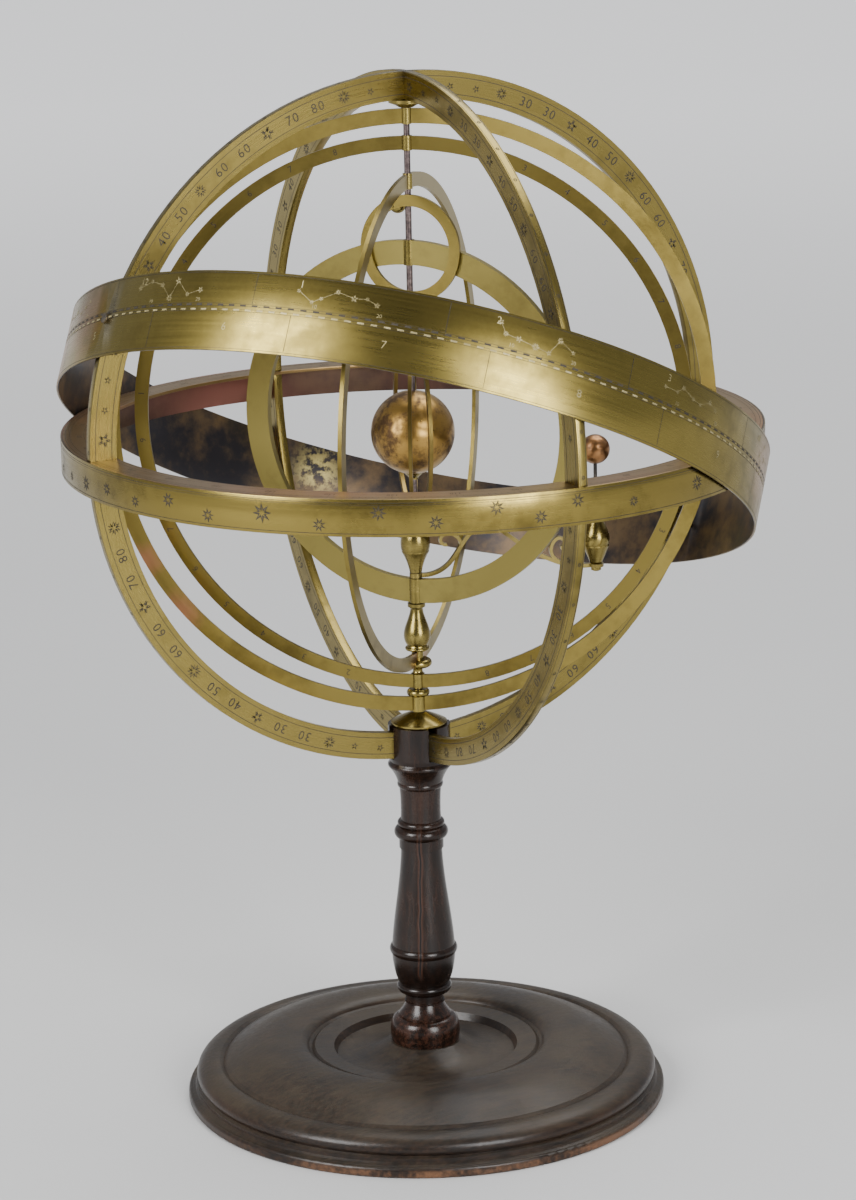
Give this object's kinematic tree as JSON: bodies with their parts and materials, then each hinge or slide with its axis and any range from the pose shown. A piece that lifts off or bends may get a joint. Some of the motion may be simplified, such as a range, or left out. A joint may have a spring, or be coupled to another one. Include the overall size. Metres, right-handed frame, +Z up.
{
  "type": "armillary sphere",
  "caption": "Sun-centred brass armillary sphere with turning planet hoops, an Earth on a turning arm and a wide tilted zodiac band, on a turned wooden stand.",
  "frame": {"origin": "centre of the base board's flat resting face", "axes": "+Z up along the polar rod; the solstice hoop lies in the XZ plane and the equinox hoop in the YZ plane; -X is the hoop limb seen front-left in the picture"},
  "size_m": [0.2986, 0.299, 0.4498],
  "materials": {
    "dark_wood": "turned hardwood, dark stain under old wax polish",
    "sheet_brass": "rolled sheet brass, engraved, worn lacquer over patina",
    "hoop_brass": "stout brass hoop, engraved, olive-gold patina",
    "turned_brass": "lathe-turned brass, brighter on the edges",
    "gilt": "mottled gilding over brass",
    "iron_rod": "dark drawn iron wire rod",
    "solder": "dull grey soft solder",
    "screw_iron": "darkened iron screw"
  },
  "bodies": {
    "sphere_frame": {"base_disc": "dark_wood", "column": "dark_wood", "solstice_colure": "hoop_brass", "equinox_colure": "hoop_brass", "equator_flange": "sheet_brass", "equator_band": "sheet_brass", "zodiac_band": "sheet_brass", "zodiac_screws": "screw_iron", "zodiac_solder": "solder", "top_boss": "turned_brass", "axis_rod": "iron_rod", "sun_ball": "gilt", "sun_collar": "turned_brass", "pole_disc": "turned_brass", "jupiter_collar": "turned_brass", "jupiter_spool": "turned_brass", "baluster": "turned_brass", "lower_cone": "turned_brass", "upper_bulb": "turned_brass"},
    "mercury_orbit": {"mercury_ring": "sheet_brass", "mercury_upper_sleeve": "turned_brass", "mercury_lower_sleeve": "turned_brass"},
    "venus_orbit": {"venus_ring": "sheet_brass", "venus_upper_sleeve": "turned_brass", "venus_lower_sleeve": "turned_brass"},
    "mars_orbit": {"mars_ring": "sheet_brass", "mars_upper_sleeve": "turned_brass", "mars_lower_sleeve": "turned_brass"},
    "jupiter_orbit": {"jupiter_ring": "sheet_brass", "jupiter_upper_sleeve": "turned_brass", "jupiter_lower_sleeve": "turned_brass"},
    "saturn_orbit": {"saturn_ring": "sheet_brass", "saturn_upper_sleeve": "turned_brass", "saturn_lower_sleeve": "turned_brass"},
    "earth_orbit": {"earth_orbit_ring": "sheet_brass", "earth_orbit_upper_sleeve": "turned_brass", "earth_orbit_lower_sleeve": "turned_brass", "lunar_ring": "sheet_brass", "moon_ball": "gilt"},
    "earth_carrier": {"earth_arm": "turned_brass", "earth_lower_cone": "turned_brass", "earth_upper_cone": "turned_brass", "arm_nut": "turned_brass"},
    "earth_globe": {"earth_spindle": "iron_rod", "earth_ball": "gilt"}
  },
  "joints": [
    {"name": "mercury_turn", "type": "hinge", "parent": "sphere_frame", "child": "mercury_orbit", "pos_m": [0, 0, 0.3023], "axis": [0, 0, 1], "continuous": true},
    {"name": "venus_turn", "type": "hinge", "parent": "sphere_frame", "child": "venus_orbit", "pos_m": [0, 0, 0.3023], "axis": [0, 0, 1], "continuous": true},
    {"name": "earth_orbit_turn", "type": "hinge", "parent": "sphere_frame", "child": "earth_orbit", "pos_m": [0, 0, 0.3023], "axis": [0, 0, 1], "range_deg": [-95, 14]},
    {"name": "earth_carrier_turn", "type": "hinge", "parent": "sphere_frame", "child": "earth_carrier", "pos_m": [0, 0, 0.3023], "axis": [0, 0, 1], "range_deg": [-12, 35]},
    {"name": "earth_spin", "type": "hinge", "parent": "earth_carrier", "child": "earth_globe", "pos_m": [0.0753, -0.02389, 0.2863], "axis": [0, 0, 1], "continuous": true},
    {"name": "mars_turn", "type": "hinge", "parent": "sphere_frame", "child": "mars_orbit", "pos_m": [0, 0, 0.3023], "axis": [0, 0, 1], "range_deg": [-20, 85]},
    {"name": "jupiter_turn", "type": "hinge", "parent": "sphere_frame", "child": "jupiter_orbit", "pos_m": [0, 0, 0.3023], "axis": [0, 0, 1], "continuous": true},
    {"name": "saturn_turn", "type": "hinge", "parent": "sphere_frame", "child": "saturn_orbit", "pos_m": [0, 0, 0.3023], "axis": [0, 0, 1], "continuous": true}
  ]
}
